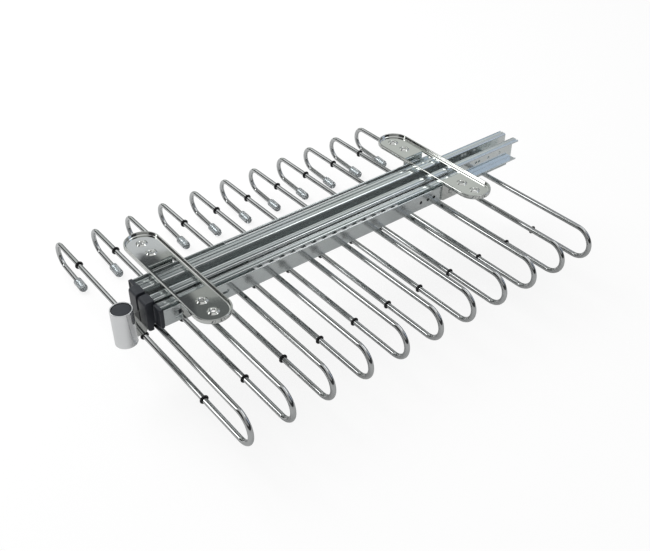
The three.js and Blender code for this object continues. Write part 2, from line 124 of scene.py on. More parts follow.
def pick_corners(work, test):
    bpy.ops.mesh.select_mode(type="VERT")
    bpy.ops.mesh.select_all(action="DESELECT")
    shape = bmesh.from_edit_mesh(work.data)
    for corner in shape.verts:
        if test(corner.co):
            corner.select_set(True)
    bmesh.update_edit_mesh(work.data)


def push_out(*step):
    """Extrudes what is selected by a step in millimetres."""
    bpy.ops.mesh.extrude_region_move(TRANSFORM_OT_translate={"value": Vector(step) * MM})


def near(first, second, within=0.02):
    return abs(first - second) < within * MM


def modify(work, kind, **settings):
    take_up(work)
    added = work.modifiers.new(kind.lower(), kind)
    for key, value in settings.items():
        setattr(added, key, value)
    bpy.ops.object.modifier_apply(modifier=added.name)


def break_edges(work, width, segments=2, angle=40):
    """Rounds every sharp edge a little, as tumbling, plating or a mould's own edge does."""
    limits = {"limit_method": "ANGLE", "angle_limit": math.radians(angle)}
    modify(work, "BEVEL", width=width * MM, segments=segments, **limits)


def combine(work, tool, operation):
    """Cuts a tool out of a piece, or joins it on, and removes the tool."""
    clear_selection()
    modify(work, "BOOLEAN", object=tool, operation=operation, solver="EXACT")
    bpy.data.objects.remove(tool)


def turned_tool(name, x, y, low, rings, axis="Z"):
    """A turned shape that stands on (x, y, low) and rises through rings of (height, radius)."""
    clear_selection()
    bpy.ops.mesh.primitive_circle_add(vertices=40, radius=rings[0][1] * MM, fill_type="NGON")
    tool = start_shaping(name)
    pick_all()
    height, radius = rings[0]
    bpy.ops.transform.translate(value=(0, 0, height * MM))
    for next_height, next_radius in rings[1:]:
        push_out(0, 0, next_height - height)
        share = next_radius / radius
        middle = (0, 0, next_height * MM)
        bpy.ops.transform.resize(value=(share, share, share), center_override=middle)
        height, radius = next_height, next_radius
    pick_all()
    bpy.ops.mesh.remove_doubles(threshold=0.001 * MM)
    bpy.ops.mesh.normals_make_consistent(inside=False)
    bpy.ops.object.mode_set(mode="OBJECT")
    if axis == "X":
        tool.rotation_euler = (0, math.radians(90), 0)
    tool.location = Vector((x, y, low)) * MM
    bpy.ops.object.transform_apply(location=True, rotation=True, scale=True)
    return tool


def block(name, low, high):
    """Opens a block between two corners, in millimetres, for shaping."""
    clear_selection()
    middle = (Vector(low) + Vector(high)) / 2 * MM
    bpy.ops.mesh.primitive_cube_add(size=1, location=middle)
    return start_shaping(name, (Vector(high) - Vector(low)) * MM)


def twin(work, name, move=(0, 0, 0), mirror=False):
    """A copy with its own mesh, moved in millimetres or mirrored to the other side."""
    clear_selection()
    copy = work.copy()
    copy.data = work.data.copy()
    copy.name = copy.data.name = name
    bpy.context.scene.collection.objects.link(copy)
    take_up(copy)
    copy.location = Vector(move) * MM
    if mirror:
        copy.scale = (-1, 1, 1)
    bpy.ops.object.transform_apply(location=True, rotation=True, scale=True)
    if mirror:
        bpy.ops.object.mode_set(mode="EDIT")
        pick_all()
        bpy.ops.mesh.normals_make_consistent(inside=False)
        bpy.ops.object.mode_set(mode="OBJECT")
    return copy


def fit(work, body, slot, finish, *nodes, smooth=32):
    """Shades a finished piece, gives it its finish and sets it on its body."""
    take_up(work)
    bpy.ops.object.shade_smooth_by_angle(angle=math.radians(smooth))
    modify(work, "WEIGHTED_NORMAL", keep_sharp=True, weight=95)
    work.data.materials.clear()
    work.data.materials.append(finish)
    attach(work, body)
    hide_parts(*nodes)


def paint(code):
    """A colour written as sRGB hex, as the linear colour that a shader takes."""
    parts = [int(code[place:place + 2], 16) / 255 for place in (1, 3, 5)]
    linear = [
        part / 12.92 if part <= 0.04045 else ((part + 0.055) / 1.055) ** 2.4 for part in parts
    ]
    return (*linear, 1)


def add_node(tree, kind, inputs=(), stops=(), **settings):
    """Adds a node with its settings; an input is a value or another node's output."""
    node = tree.nodes.new(kind)
    for key, value in settings.items():
        setattr(node, key, value)
    for count, (place, code) in enumerate(stops):
        ramp = node.color_ramp.elements
        spot = ramp[count] if count < 2 else ramp.new(place)
        spot.position, spot.color = place, paint(code)
    for key, value in dict(inputs).items():
        if isinstance(value, bpy.types.NodeSocket):
            tree.links.new(value, node.inputs[key])
        else:
            node.inputs[key].default_value = value
    return node


def new_finish(name):
    finish = bpy.data.materials.new(name)
    finish.use_nodes = True
    return finish, finish.node_tree, finish.node_tree.nodes["Principled BSDF"]


def dress(tree, shader, tint, gloss, relief=None):
    """Links a finish's mixed colour and its roughness and, where it has one, its relief."""
    mixed = add_node(tree, "ShaderNodeMixRGB", tint).outputs[0]
    tree.links.new(mixed, shader.inputs["Base Color"])
    ranged = add_node(tree, "ShaderNodeMapRange", gloss).outputs[0]
    tree.links.new(ranged, shader.inputs["Roughness"])
    if relief:
        bump = add_node(tree, "ShaderNodeBump", relief).outputs[0]
        tree.links.new(bump, shader.inputs["Normal"])


# Bright nickel-chrome plate on pressed sheet: a clear, slightly wavy mirror with faint haze.
# The waves are about 18 mm long and the haze specks about 2.4 mm, coarser than real haze.
plate_chrome, tree, shader = new_finish("chrome_plated_pressed_sheet")
place = add_node(tree, "ShaderNodeTexCoord").outputs["Object"]
waves = add_node(tree, "ShaderNodeTexNoise", {"Vector": place, "Scale": 55.0, "Detail": 2.0})
haze = add_node(tree, "ShaderNodeTexNoise", {"Vector": place, "Scale": 420.0, "Detail": 4.0})
tint = {"Fac": haze.outputs["Fac"], "Color1": paint("#d6d8d5"), "Color2": paint("#e0e2df")}
shader.inputs["Metallic"].default_value = 1
gloss = {"Value": haze.outputs["Fac"], "To Min": 0.02, "To Max": 0.06}
relief = {"Height": waves.outputs["Fac"], "Strength": 0.1, "Distance": 0.2 * MM}
dress(tree, shader, tint, gloss, relief)

plate_length, plate_width, plate_depth, plate_sheet = 150, 34, 4.5, 1.5
plate_y = 150
screw_places = (-60, -42.6, 42.6, 60)
window_reach, window_half = 27.8, 12.5
slide_axis = -18.6

clear_selection()
bpy.ops.mesh.primitive_plane_add(size=1, location=(0, 0, -plate_depth * MM))
plate = start_shaping("plate", (plate_length * MM, plate_width * MM, 1))
pick_all()
bpy.ops.mesh.bevel(
    offset=plate_width / 2 * MM, segments=18, affect="VERTICES", clamp_overlap=False,
)
pick_all()
bpy.ops.mesh.remove_doubles(threshold=0.01 * MM)
pick_all()
push_out(0, 0, plate_depth)
bpy.ops.mesh.inset(thickness=plate_sheet * MM)
push_out(0, 0, plate_sheet - plate_depth)
pick_edges(plate, lambda a, b: near(a.z, -plate_depth * MM) and near(b.z, -plate_depth * MM))
bpy.ops.mesh.bevel(offset=1.3 * MM, segments=4, affect="EDGES")
floor_height = (plate_sheet - plate_depth) * MM
pick_edges(plate, lambda a, b: near(a.z, floor_height) and near(b.z, floor_height))
bpy.ops.mesh.bevel(offset=1.5 * MM, segments=6, affect="EDGES")
pick_edges(plate, lambda a, b: near(a.z, 0) and near(b.z, 0))
bpy.ops.mesh.bevel(offset=0.55 * MM, segments=3, affect="EDGES")
bpy.ops.object.mode_set(mode="OBJECT")

for screw_x in screw_places:
    boss = turned_tool("boss", screw_x, 0, -3.6, [
        (0, 5.4), (0.65, 5.3), (0.9, 4.9), (1.35, 4.3), (1.7, 3.9), (1.8, 3.5),
    ])
    combine(plate, boss, "UNION")
for screw_x in screw_places:
    bore = turned_tool("bore", screw_x, 0, -5.5, [
        (0, 3.6), (1.4, 3.0), (1.7, 2.05), (3.0, 2.0), (3.2, 2.1), (3.75, 3.0), (5, 3.2),
    ])
    combine(plate, bore, "DIFFERENCE")
window = block("window", (-window_reach, -window_half, -6), (window_reach, window_half, 1))
combine(plate, window, "DIFFERENCE")
for side in (-1, 1):
    reach = sorted((side * window_reach, side * (window_reach + plate_sheet)))
    tab = block("tab", (reach[0], -window_half, -26.4), (reach[1], window_half, -3.05))
    pick_edges(tab, lambda a, b: a.z < -20 * MM and b.z < -20 * MM and near(a.y, b.y))
    bpy.ops.mesh.bevel(offset=3 * MM, segments=6, affect="EDGES")
    break_edges(tab, 0.25)
    combine(plate, tab, "UNION")

plate_rear = twin(plate, "plate_pressed_rear", (0, plate_y, 0))
plate_front = twin(plate, "plate_pressed_front", (0, -plate_y, 0))
bpy.data.objects.remove(plate)
for end, work in (("front", plate_front), ("rear", plate_rear)):
    fit(work, "mounting_frame", "chromed_steel", plate_chrome, f"plate_{end}", smooth=28)


# Rivets
# Domed steel rivets, chromed with the plates' tabs, with their tails closed inside the fixed rails.
rivet = turned_tool("rivet", 25.3, 0, slide_axis, [
    (0, 1.9), (0.15, 2.1), (0.8, 2.1), (0.81, 1.5), (4, 1.5), (4.01, 3.2), (4.15, 3.4),
    (4.45, 3.35), (4.85, 2.95), (5.2, 2.2), (5.42, 1.2), (5.5, 0.3),
], axis="X")
for end, along in (("front", -plate_y), ("rear", plate_y)):
    right = twin(rivet, f"rivet_domed_{end}_right", (0, along, 0))
    left = twin(right, f"rivet_domed_{end}_left", mirror=True)
    for side, work in (("right", right), ("left", left)):
        fit(work, "mounting_frame", "chromed_steel", plate_chrome, f"plate_rivet_{end}_{side}")
bpy.data.objects.remove(rivet)


# Fixed rails
# Roll-formed strip steel, bright zinc plated: a flat strip outside, a grooved ball runner inside,
# with the maker's row of tool holes, a slot and a latch window punched through.
def roll_form(name, folds, front, rear, sheet):
    """Rolls a strip from folds of (across, up, bend radius) on the middle of the sheet."""
    spots = [Vector((across, 0, up + slide_axis)) * MM for across, up, _ in folds]
    length, middle = (rear - front) * MM, (rear + front) / 2 * MM
    first = spots[1] - spots[0]
    clear_selection()
    bpy.ops.mesh.primitive_plane_add(
        size=1,
        location=(spots[0] + spots[1]) / 2 + Vector((0, middle, 0)),
        rotation=(0, -math.atan2(first.z, first.x), 0),
    )
    work = start_shaping(name, (first.length, length, 1))
    for last, spot in zip(spots[1:], spots[2:]):
        pick_edges(work, lambda a, b: all(near(c.x, last.x) and near(c.z, last.z) for c in (a, b)))
        bpy.ops.mesh.extrude_region_move(TRANSFORM_OT_translate={"value": spot - last})
    for bend in sorted({radius for *_, radius in folds if radius}, reverse=True):
        bent = [spot for spot, (*_, radius) in zip(spots, folds) if radius == bend]

        def on_bend(a, b):
            return any(all(near(c.x, s.x) and near(c.z, s.z) for c in (a, b)) for s in bent)

        pick_edges(work, on_bend)
        bpy.ops.mesh.bevel(offset=bend * MM, segments=4, affect="EDGES")
    pick_all()
    bpy.ops.mesh.remove_doubles(threshold=0.001 * MM)
    bpy.ops.mesh.normals_make_consistent(inside=False)
    bpy.ops.object.mode_set(mode="OBJECT")
    if sheet:
        modify(work, "SOLIDIFY", thickness=sheet * MM, offset=0, use_even_offset=True)
        break_edges(work, 0.18)
    return work


def both_ways(upper):
    """A section given from its open upper edge to mid height, mirrored below."""
    return [*upper, *[(across, -up, bend) for across, up, bend in reversed(upper)]]


def press_line(work, near_side, far_side, bottom, front, rear):
    """Presses a groove along the top of a rolled section, and another one below."""
    for low, high in ((bottom, bottom + 3), (-bottom - 3, -bottom)):
        start = (near_side, front - 1, slide_axis + low)
        stop = (far_side, rear + 1, slide_axis + high)
        line = block("line", start, stop)
        bpy.ops.object.mode_set(mode="OBJECT")
        combine(work, line, "DIFFERENCE")


def gather(name, *works):
    """Joins finished parts of one piece."""
    clear_selection()
    for work in works:
        work.select_set(True)
    bpy.context.view_layer.objects.active = works[0]
    bpy.ops.object.join()
    works[0].name = works[0].data.name = name
    return works[0]


# Bright zinc plate, blue passivated, on cold-rolled strip: a softened mirror, cool grey, with
# drawing lines along the slide and slightly cloudy brightness. The lines are 0.4 mm apart, coarser
# than real so that they show; the clouds are about 17 mm wide.
rail_zinc, tree, shader = new_finish("blue_passivated_zinc_on_rolled_strip")
place = add_node(tree, "ShaderNodeTexCoord").outputs["Object"]
drawn = add_node(tree, "ShaderNodeMapping", {"Vector": place, "Scale": (1, 0.02, 1)}).outputs[0]
lines = add_node(tree, "ShaderNodeTexNoise", {"Vector": drawn, "Scale": 2600.0, "Detail": 2.0})
clouds = add_node(tree, "ShaderNodeTexNoise", {"Vector": place, "Scale": 60.0, "Detail": 3.0})
tint = {"Fac": clouds.outputs["Fac"], "Color1": paint("#d9e0e0"), "Color2": paint("#e4e8e8")}
gloss = {"Value": clouds.outputs["Fac"], "To Min": 0.09, "To Max": 0.14}
relief = {"Height": lines.outputs["Fac"], "Strength": 0.02, "Distance": 0.05 * MM}
shader.inputs["Metallic"].default_value = 0.87
dress(tree, shader, tint, gloss, relief)

# The cages' own strip is zinc plated without drawing lines, a paler and duller grey, with clouds
# of about 3 mm.
cage_zinc, tree, shader = new_finish("matt_zinc_on_punched_strip")
place = add_node(tree, "ShaderNodeTexCoord").outputs["Object"]
clouds = add_node(tree, "ShaderNodeTexNoise", {"Vector": place, "Scale": 300.0, "Detail": 3.0})
tint = {"Fac": clouds.outputs["Fac"], "Color1": paint("#e4e7e8"), "Color2": paint("#f2f3f3")}
gloss = {"Value": clouds.outputs["Fac"], "To Min": 0.4, "To Max": 0.55}
shader.inputs["Metallic"].default_value = 0.35
dress(tree, shader, tint, gloss)

slide_sheet = 1.4
fixed_front, fixed_rear = -178.5, 171.5
strip = block("strip", (26.1, fixed_front, slide_axis - 8.3), (27.5, fixed_rear, slide_axis + 8.3))
break_edges(strip, 0.6, 4)
fixed_runner = roll_form("runner", both_ways([
    (18.0, 3.2, 0), (18.3, 3.2, 0.1), (18.7, 2.8, 0.1), (19.9, 2.8, 0.1), (20.3, 3.2, 0.1),
    (25.5, 3.2, 0.7),
]), fixed_front, fixed_rear, slide_sheet)
for along in (110.5, 119.9, 128.1):
    for work in (strip, fixed_runner):
        hole = turned_tool("hole", 22, along, slide_axis, [(0, 1.8), (9, 1.8)], axis="X")
        combine(work, hole, "DIFFERENCE")
slot_tool = block("slot", (24, -122.5, slide_axis - 2), (29, -114.5, slide_axis + 2))
pick_edges(slot_tool, lambda a, b: near(a.y, b.y) and near(a.z, b.z))
bpy.ops.mesh.bevel(offset=1.95 * MM, segments=6, affect="EDGES")
bpy.ops.object.mode_set(mode="OBJECT")
combine(strip, slot_tool, "DIFFERENCE")
# The latch is three slits around a tongue in the strip. They overlap and share no plane, and the
# window behind them stays between the runner's folds; both keep the cut edges clean.
slits = ((-168, -164.5, -4.3, -2), (-168, -164.5, 2, 4.3), (-165, -162, -4.4, 4.4))
for front, rear, low, high in slits:
    slit = block("slit", (24, front, slide_axis + low), (29, rear, slide_axis + high))
    combine(strip, slit, "DIFFERENCE")
window = block("window", (24.4, -168.7, slide_axis - 2.3), (26.6, -161.3, slide_axis + 2.3))
combine(fixed_runner, window, "DIFFERENCE")
fixed_right = gather("fixed_rail_rolled_right", strip, fixed_runner)
fixed_left = twin(fixed_right, "fixed_rail_rolled_left", mirror=True)
fit(fixed_right, "mounting_frame", "zinc_plated_steel", rail_zinc, "fixed_rail_right")
fit(fixed_left, "mounting_frame", "zinc_plated_steel", rail_zinc, "fixed_rail_left")


# Ball cages
# Bent steel strip with a punched pocket every 12 mm in both legs, each holding a hardened ball.
# The outer cage runs between fixed rail and middle member, the inner one inside the carriage rail.
def ball_cage(name, web, edge, leg, ball_x, ball_up, front, length):
    pitch = 12
    count = int(length // pitch)
    start = front + (length - count * pitch) / 2
    cage = roll_form(name, both_ways([(edge, leg, 0), (web, leg, 0.5)]), start, start + pitch, 0)
    for up in (leg, -leg):
        take_up(cage)
        bpy.ops.object.mode_set(mode="EDIT")
        pick_faces(cage, lambda middle, normal: near(middle.z, (slide_axis + up) * MM))
        bpy.ops.mesh.inset(thickness=1.1 * MM)
        middle = (0, (start + pitch / 2) * MM, 0)
        bpy.ops.transform.resize(value=(1, 0.55, 1), center_override=middle)
        bpy.ops.mesh.delete(type="FACE")
        bpy.ops.object.mode_set(mode="OBJECT")
    modify(cage, "SOLIDIFY", thickness=0.5 * MM, offset=0)
    clear_selection()
    spot = Vector((ball_x, start + pitch / 2, slide_axis + ball_up)) * MM
    bpy.ops.mesh.primitive_ico_sphere_add(subdivisions=2, radius=1.5 * MM, location=spot)
    ball = start_shaping("ball")
    pick_all()
    bpy.ops.mesh.duplicate_move(TRANSFORM_OT_translate={"value": (0, 0, -2 * ball_up * MM)})
    bpy.ops.object.mode_set(mode="OBJECT")
    whole = gather(name, cage, ball)
    modify(
        whole, "ARRAY", count=count, use_relative_offset=False, use_constant_offset=True,
        constant_offset_displace=(0, pitch * MM, 0),
    )
    return whole


outer_cage = ball_cage("ball_cage_punched_outer_right", 16.85, 25.0, 6.1, 19.3, 5.3, -88.5, 175)
inner_cage = ball_cage("ball_cage_punched_inner_right", 6.85, 12.8, 8.8, 9.3, 8.8, -88.5, 250)
for where, work in (("outer", outer_cage), ("inner", inner_cage)):
    other = twin(work, f"ball_cage_punched_{where}_left", mirror=True)
    fit(work, f"{where}_cage_right", "zinc_plated_steel", cage_zinc, f"ball_cage_{where}_right")
    fit(other, f"{where}_cage_left", "zinc_plated_steel", cage_zinc, f"ball_cage_{where}_left")


# Middle members
# A channel and a smaller grooved runner, both roll-formed and zinc plated, welded back to back.
middle_front, middle_rear = -178.8, 171.2
channel = roll_form("middle_channel_rolled_right", both_ways([
    (21.5, 6.9, 0), (21.5, 8.0, 0.55), (15.3, 8.0, 0.8),
]), middle_front, middle_rear, 1.0)
press_line(channel, 19.1, 20.5, 7.7, middle_front, middle_rear)
runner = roll_form("middle_runner_rolled_right", both_ways([
    (8.0, 6.7, 0), (8.3, 6.7, 0.1), (8.7, 6.3, 0.1), (9.9, 6.3, 0.1), (10.3, 6.7, 0.1),
    (14.1, 6.7, 0.7),
]), middle_front, middle_rear, slide_sheet)
for what, work in (("channel", channel), ("runner", runner)):
    other = twin(work, f"middle_{what}_rolled_left", mirror=True)
    fit(work, "middle_right", "zinc_plated_steel", rail_zinc, f"intermediate_{what}_right")
    fit(other, "middle_left", "zinc_plated_steel", rail_zinc, f"intermediate_{what}_left")


# Plastic stops
# Injection-moulded black nylon bumpers, pressed on the front ends of middle members and carriage.
black_nylon, tree, shader = new_finish("moulded_black_nylon")
place = add_node(tree, "ShaderNodeTexCoord").outputs["Object"]
# Spark-eroded mould grain of 0.6 mm, coarser than real so that it shows.
grain = add_node(tree, "ShaderNodeTexNoise", {"Vector": place, "Scale": 1600.0, "Detail": 3.0})
flow = add_node(tree, "ShaderNodeTexNoise", {"Vector": place, "Scale": 120.0, "Detail": 2.0})
tint = {"Fac": flow.outputs["Fac"], "Color1": paint("#202328"), "Color2": paint("#303339")}
gloss = {"Value": grain.outputs["Fac"], "To Min": 0.25, "To Max": 0.42}
relief = {"Height": grain.outputs["Fac"], "Strength": 0.3, "Distance": 0.06 * MM}
dress(tree, shader, tint, gloss, relief)

middle_stop = block("middle_stop_moulded_right", (15, -182, -28.6), (27.5, -178.8, -8.6))
pick_edges(middle_stop, lambda a, b: near(a.x, b.x) and near(a.z, b.z))
bpy.ops.mesh.bevel(offset=2 * MM, segments=5, affect="EDGES")
pick_faces(middle_stop, lambda middle, normal: normal.y < -0.9)
bpy.ops.mesh.inset(thickness=1.6 * MM)
push_out(0, 0.7, 0)
break_edges(middle_stop, 0.35, 3)

# A black block in the nylon finish closes the window behind each fixed rail's latch: painted shade
# that keeps the latch slits dark.
latch_shade_block = block(
    "latch_shade_block_right", (24.9, -168.5, slide_axis - 2.2), (26.05, -161.5, slide_axis + 2.2),
)
break_edges(latch_shade_block, 0.25)
other = twin(latch_shade_block, "latch_shade_block_left", mirror=True)
fit(latch_shade_block, "mounting_frame", "black_plastic", black_nylon, "fixed_rail_right")
fit(other, "mounting_frame", "black_plastic", black_nylon, "fixed_rail_left")

other = twin(middle_stop, "middle_stop_moulded_left", mirror=True)
fit(middle_stop, "middle_right", "black_plastic", black_nylon, "intermediate_stop_right")
fit(other, "middle_left", "black_plastic", black_nylon, "intermediate_stop_left")

stop_front, stop_top, stop_low, lip_rear = -188.5, -6.6, -30.3, -182.8
lip_drop = 6.3
carriage_stop = block(
    "carriage_stop_moulded_right", (1.6, stop_front, stop_low), (14.6, -179.1, stop_top),
)
pick_all()
bpy.ops.mesh.bisect(plane_co=(0, lip_rear * MM, 0), plane_no=(0, 1, 0))
pick_faces(carriage_stop, lambda middle, normal: normal.z < -0.9 and middle.y < lip_rear * MM)
push_out(0, 0, -lip_drop)
corner_heights = (stop_top * MM, (stop_low - lip_drop) * MM)
pick_edges(carriage_stop, lambda a, b: (
    all(near(c.y, stop_front * MM) for c in (a, b)) and near(a.z, b.z)
    and any(near(a.z, height) for height in corner_heights)
))
bpy.ops.mesh.bevel(offset=3 * MM, segments=3, affect="EDGES")
break_edges(carriage_stop, 0.5, 3, angle=50)
other = twin(carriage_stop, "carriage_stop_moulded_left", mirror=True)
fit(carriage_stop, "carriage", "black_plastic", black_nylon, "carriage_stop_right")
fit(other, "carriage", "black_plastic", black_nylon, "carriage_stop_left")


# Carriage rails
# Tall C sections, roll-formed and zinc plated, with curled lips and four tool holes near the rear.
carriage_front, carriage_rear = -179.1, 264.9
carriage_rail = roll_form("carriage_rail_rolled_right", both_ways([
    (12.9, 10.0, 0), (12.9, 11.4, 0.65), (5.4, 11.4, 1.1),
]), carriage_front, carriage_rear, 1.2)
press_line(carriage_rail, 10.3, 12.2, 11.05, carriage_front, carriage_rear)
press_line(carriage_rail, 7.4, 8.2, 11.5, carriage_front, carriage_rear)
for along in (245.2, 228.1, 214.0, 209.6):
    hole = turned_tool("hole", 3, along, slide_axis, [(0, 1.6), (5, 1.6)], axis="X")
    combine(carriage_rail, hole, "DIFFERENCE")
other = twin(carriage_rail, "carriage_rail_rolled_left", mirror=True)
fit(carriage_rail, "carriage", "zinc_plated_steel", rail_zinc, "carriage_rail_right")
fit(other, "carriage", "zinc_plated_steel", rail_zinc, "carriage_rail_left")


# Carrier plate
# Flat zinc plated strip under both carriage rails; the hangers are welded to its underside.
clear_selection()
bpy.ops.mesh.primitive_plane_add(size=1, location=(0, 34.5 * MM, -31.8 * MM))
carrier = start_shaping("carrier_strip_cut", (27 * MM, 434 * MM, 1))
pick_all()
bpy.ops.mesh.bevel(offset=2 * MM, segments=5, affect="VERTICES")
pick_all()
push_out(0, 0, 1.2)
break_edges(carrier, 0.2)
fit(carrier, "carriage", "zinc_plated_steel", rail_zinc, "carrier_plate")


# Handle
# A chromed upright blade between the rails carries a chromed tube, closed by black plugs at
# both ends.
clear_selection()
bpy.ops.mesh.primitive_plane_add(
    size=1, location=Vector((-1, -188, -35)) * MM, rotation=(0, math.radians(90), 0),
)
blade = start_shaping("handle_blade_cut", (27 * MM, 10.4 * MM, 1))
tongue_low, tongue_length = -30.6, 32.3
blade_rear, tongue_rear = -182.8 * MM, -150.5 * MM
pick_all()
bpy.ops.mesh.bisect(plane_co=(0, 0, tongue_low * MM), plane_no=(0, 0, 1))
pick_edges(blade, lambda a, b: (
    near(a.y, blade_rear) and near(b.y, blade_rear) and (a.z + b.z) / 2 > tongue_low * MM
))
push_out(0, tongue_length, 0)
pick_corners(blade, lambda c: (
    (near(c.y, blade_rear) and near(c.z, -48.5 * MM))
    or (near(c.y, tongue_rear) and near(c.z, -21.5 * MM))
))
bpy.ops.mesh.bevel(offset=5 * MM, segments=6, affect="VERTICES")
pick_all()
push_out(2, 0, 0)
pick_all()
bpy.ops.mesh.normals_make_consistent(inside=False)
break_edges(blade, 0.3)
fit(blade, "carriage", "chromed_steel", plate_chrome, "handle_bracket")

# Bright chrome on drawn tube: a little lighter and cooler than the pressed sheet, with haze in
# patches of about 7 mm.
tube_chrome, tree, shader = new_finish("chrome_plated_drawn_tube")
place = add_node(tree, "ShaderNodeTexCoord").outputs["Object"]
haze = add_node(tree, "ShaderNodeTexNoise", {"Vector": place, "Scale": 140.0, "Detail": 3.0})
tint = {"Fac": haze.outputs["Fac"], "Color1": paint("#e9ebec"), "Color2": paint("#f3f4f5")}
gloss = {"Value": haze.outputs["Fac"], "To Min": 0.08, "To Max": 0.16}
shader.inputs["Metallic"].default_value = 0.85
dress(tree, shader, tint, gloss)

handle_y = -203.5
clear_selection()
bpy.ops.mesh.primitive_plane_add(
    size=1, location=Vector((9.4, handle_y, -31)) * MM, rotation=(math.radians(90), 0, 0),
)
tube = start_shaping("handle_tube_drawn", (1.2 * MM, 36 * MM, 1))
pick_all()
bpy.ops.mesh.bevel(offset=0.35 * MM, segments=3, affect="VERTICES")
# Only the wall's outline is spun, so that no face stays inside the wall.
pick_all()
bpy.ops.mesh.delete(type="ONLY_FACE")
pick_all()
bpy.ops.mesh.spin(
    steps=64, angle=math.radians(360), center=(0, handle_y * MM, 0), axis=(0, 0, 1),
)
pick_all()
bpy.ops.mesh.remove_doubles(threshold=0.005 * MM)
bpy.ops.mesh.delete_loose()
pick_all()
bpy.ops.mesh.normals_make_consistent(inside=False)
fit(tube, "carriage", "chromed_steel", tube_chrome, "handle_tube")

plug_top = turned_tool("handle_plug_moulded_top", 0, handle_y, -16.6, [
    (0, 8.0), (0.3, 8.5), (2.2, 8.5), (2.6, 8.35), (2.85, 8.0), (2.95, 7.2), (3.0, 3),
])
plug_bottom = turned_tool("handle_plug_moulded_bottom", 0, handle_y, -48.4, [
    (0, 3), (0.05, 7.2), (0.15, 8.0), (0.4, 8.35), (0.8, 8.5), (2.7, 8.5), (3.0, 8.0),
])
fit(plug_top, "carriage", "black_plastic", black_nylon, "handle_plug_top")
fit(plug_bottom, "carriage", "black_plastic", black_nylon, "handle_plug_bottom")


# Wire hangers
# Eleven hangers bent from 5 mm steel wire, welded under the carrier plate and chromed: an upper
# leg, a U-bend, a long lower leg that carries the trousers, and a hook with a free leg.

# Chrome on drawn wire: darker and clearer than the sheet's, with faint drawing marks 0.7 mm apart,
# coarser than real so that they show, and haze in patches of about 6 mm.
wire_chrome, tree, shader = new_finish("chrome_plated_drawn_wire")
place = add_node(tree, "ShaderNodeTexCoord").outputs["Object"]
drawn = add_node(tree, "ShaderNodeMapping", {"Vector": place, "Scale": (0.05, 1, 1)}).outputs[0]
marks = add_node(tree, "ShaderNodeTexNoise", {"Vector": drawn, "Scale": 1500.0, "Detail": 2.0})
haze = add_node(tree, "ShaderNodeTexNoise", {"Vector": place, "Scale": 160.0, "Detail": 3.0})
tint = {"Fac": haze.outputs["Fac"], "Color1": paint("#c2c4c4"), "Color2": paint("#cfd1d1")}
gloss = {"Value": haze.outputs["Fac"], "To Min": 0.015, "To Max": 0.05}
relief = {"Height": marks.outputs["Fac"], "Strength": 0.01, "Distance": 0.05 * MM}
shader.inputs["Metallic"].default_value = 1
dress(tree, shader, tint, gloss, relief)

wire_radius = 2.5
weld_x = -12
upper_leg, lower_leg = -34.6, -67.0
bend_x, hook_x, hook_radius, hook_turn, free_leg = 137.2, -190.5, 13.3, 176, 42
lean = math.radians(180 - hook_turn)
free_way = Vector((math.cos(lean), 0, -math.sin(lean)))

clear_selection()
bpy.ops.mesh.primitive_circle_add(
    vertices=28, radius=wire_radius * MM, fill_type="NGON",
    location=Vector((weld_x, 0, upper_leg)) * MM, rotation=(0, math.radians(90), 0),
)
hanger = start_shaping("hanger")
bpy.ops.mesh.select_mode(type="FACE")
pick_all()
push_out(bend_x - weld_x, 0, 0)
bend_middle = Vector((bend_x, 0, (upper_leg + lower_leg) / 2)) * MM
bpy.ops.mesh.spin(steps=28, angle=math.radians(-180), center=bend_middle, axis=(0, 1, 0))
push_out(hook_x - bend_x, 0, 0)
hook_middle = Vector((hook_x, 0, lower_leg - hook_radius)) * MM
bpy.ops.mesh.spin(steps=22, angle=math.radians(hook_turn), center=hook_middle, axis=(0, 1, 0))
push_out(*(free_way * free_leg))
pick_all()
bpy.ops.mesh.remove_doubles(threshold=0.002 * MM)
bpy.ops.mesh.normals_make_consistent(inside=False)
pick_edges(hanger, lambda a, b: near(a.x, weld_x * MM) and near(b.x, weld_x * MM))
bpy.ops.mesh.bevel(offset=0.4 * MM, segments=2, affect="EDGES")
bpy.ops.object.mode_set(mode="OBJECT")

# Rubber rings
# Black rubber O-rings, stretched on the lower legs so that the trousers don't slide. Their bloom
# is in specks of about 1 mm.
black_rubber, tree, shader = new_finish("moulded_black_rubber")
place = add_node(tree, "ShaderNodeTexCoord").outputs["Object"]
bloom = add_node(tree, "ShaderNodeTexNoise", {"Vector": place, "Scale": 900.0, "Detail": 4.0})
tint = {"Fac": bloom.outputs["Fac"], "Color1": paint("#0e0e10"), "Color2": paint("#1c1c1f")}
gloss = {"Value": bloom.outputs["Fac"], "To Min": 0.4, "To Max": 0.62}
relief = {"Height": bloom.outputs["Fac"], "Strength": 0.2, "Distance": 0.04 * MM}
dress(tree, shader, tint, gloss, relief)

clear_selection()
bpy.ops.mesh.primitive_circle_add(
    vertices=14, radius=0.9 * MM, fill_type="NOTHING",
    location=Vector((0, 0, lower_leg + wire_radius + 0.8)) * MM, rotation=(math.radians(90), 0, 0),
)
rubber_ring = start_shaping("rubber_ring")
seat = (lower_leg + wire_radius) * MM
pick_corners(rubber_ring, lambda c: c.z < seat + 0.12 * MM)
bpy.ops.transform.resize(value=(1, 1, 0), center_override=(0, 0, seat))
pick_all()
bpy.ops.mesh.spin(steps=32, angle=math.radians(360), center=(0, 0, lower_leg * MM), axis=(1, 0, 0))
pick_all()
bpy.ops.mesh.remove_doubles(threshold=0.005 * MM)
bpy.ops.mesh.normals_make_consistent(inside=False)
bpy.ops.object.mode_set(mode="OBJECT")

